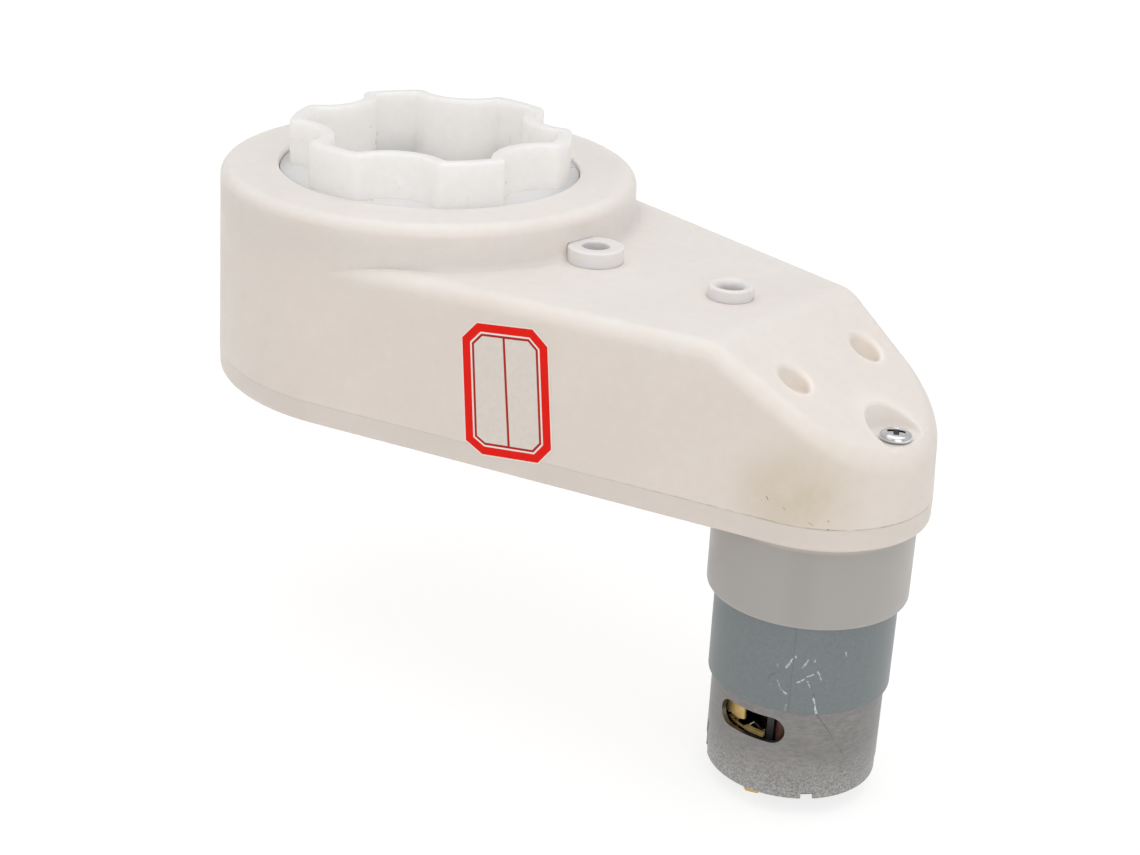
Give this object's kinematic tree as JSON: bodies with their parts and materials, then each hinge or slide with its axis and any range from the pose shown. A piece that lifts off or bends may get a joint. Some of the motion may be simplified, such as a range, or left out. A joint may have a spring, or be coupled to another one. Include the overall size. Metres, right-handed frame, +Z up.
{
  "type": "geared dc motor",
  "caption": "Moulded spur-gear reduction gearbox with a can motor hung under its nose; a lobed crown on its output gear drives a wheel that turns on an axle through the gear's bore.",
  "frame": {"origin": "on the output axis, at the underside of the cover", "axes": "+Z up the output axis towards the crown, +X from the output axis to the motor's axis"},
  "size_m": [0.1785, 0.0938, 0.1182],
  "materials": {
    "housing_nylon": "satin",
    "gear_nylon": "satin",
    "can_steel": "brushed",
    "flux_steel": "satin",
    "screw_zinc": "bright",
    "brass": "bright",
    "bronze": "matt",
    "copper": "bright",
    "enamelled_wire": "gloss",
    "ferrite": "matt",
    "carbon": "matt",
    "black_nylon": "satin",
    "steel": "ground"
  },
  "bodies": {
    "gearbox": {"upper_housing": "housing_nylon", "lower_cover": "housing_nylon", "nose_screw": "screw_zinc", "cover_screw_1": "screw_zinc", "cover_screw_2": "screw_zinc", "cover_screw_3": "screw_zinc", "cover_screw_4": "screw_zinc", "cover_screw_5": "screw_zinc", "motor_screw_1": "screw_zinc", "motor_screw_2": "screw_zinc", "motor_can": "can_steel", "flux_ring": "flux_steel", "motor_end_cap": "black_nylon", "terminal_1": "brass", "terminal_2": "brass", "magnet_1": "ferrite", "magnet_2": "ferrite", "front_bearing": "bronze", "rear_bearing": "bronze", "brush_1": "carbon", "brush_2": "carbon", "brush_arm_1": "brass", "brush_arm_2": "brass"},
    "output": {"output_gear": "gear_nylon"},
    "second_idler": {"second_idler_gear": "gear_nylon"},
    "first_idler": {"first_idler_gear": "gear_nylon"},
    "rotor": {"motor_shaft": "steel", "armature_core": "steel", "coil_1": "enamelled_wire", "coil_2": "enamelled_wire", "coil_3": "enamelled_wire", "commutator": "copper", "motor_pinion": "brass"}
  },
  "joints": [
    {"name": "output_spin", "type": "hinge", "parent": "gearbox", "child": "output", "pos_m": [0, 0, 0], "axis": [0, 0, 1], "continuous": true},
    {"name": "second_idler_spin", "type": "hinge", "parent": "gearbox", "child": "second_idler", "pos_m": [0.05055, -0.00283, 0], "axis": [0, 0, 1], "continuous": true},
    {"name": "first_idler_spin", "type": "hinge", "parent": "gearbox", "child": "first_idler", "pos_m": [0.0834, 0.00027, 0], "axis": [0, 0, 1], "continuous": true},
    {"name": "rotor_spin", "type": "hinge", "parent": "gearbox", "child": "rotor", "pos_m": [0.1086, 0, 0], "axis": [0, 0, 1], "continuous": true}
  ],
  "couplings": [
    {"joint": "second_idler_spin", "follows": "output_spin", "ratio": -5.2308},
    {"joint": "first_idler_spin", "follows": "output_spin", "ratio": 23.538},
    {"joint": "rotor_spin", "follows": "output_spin", "ratio": -124.75}
  ]
}
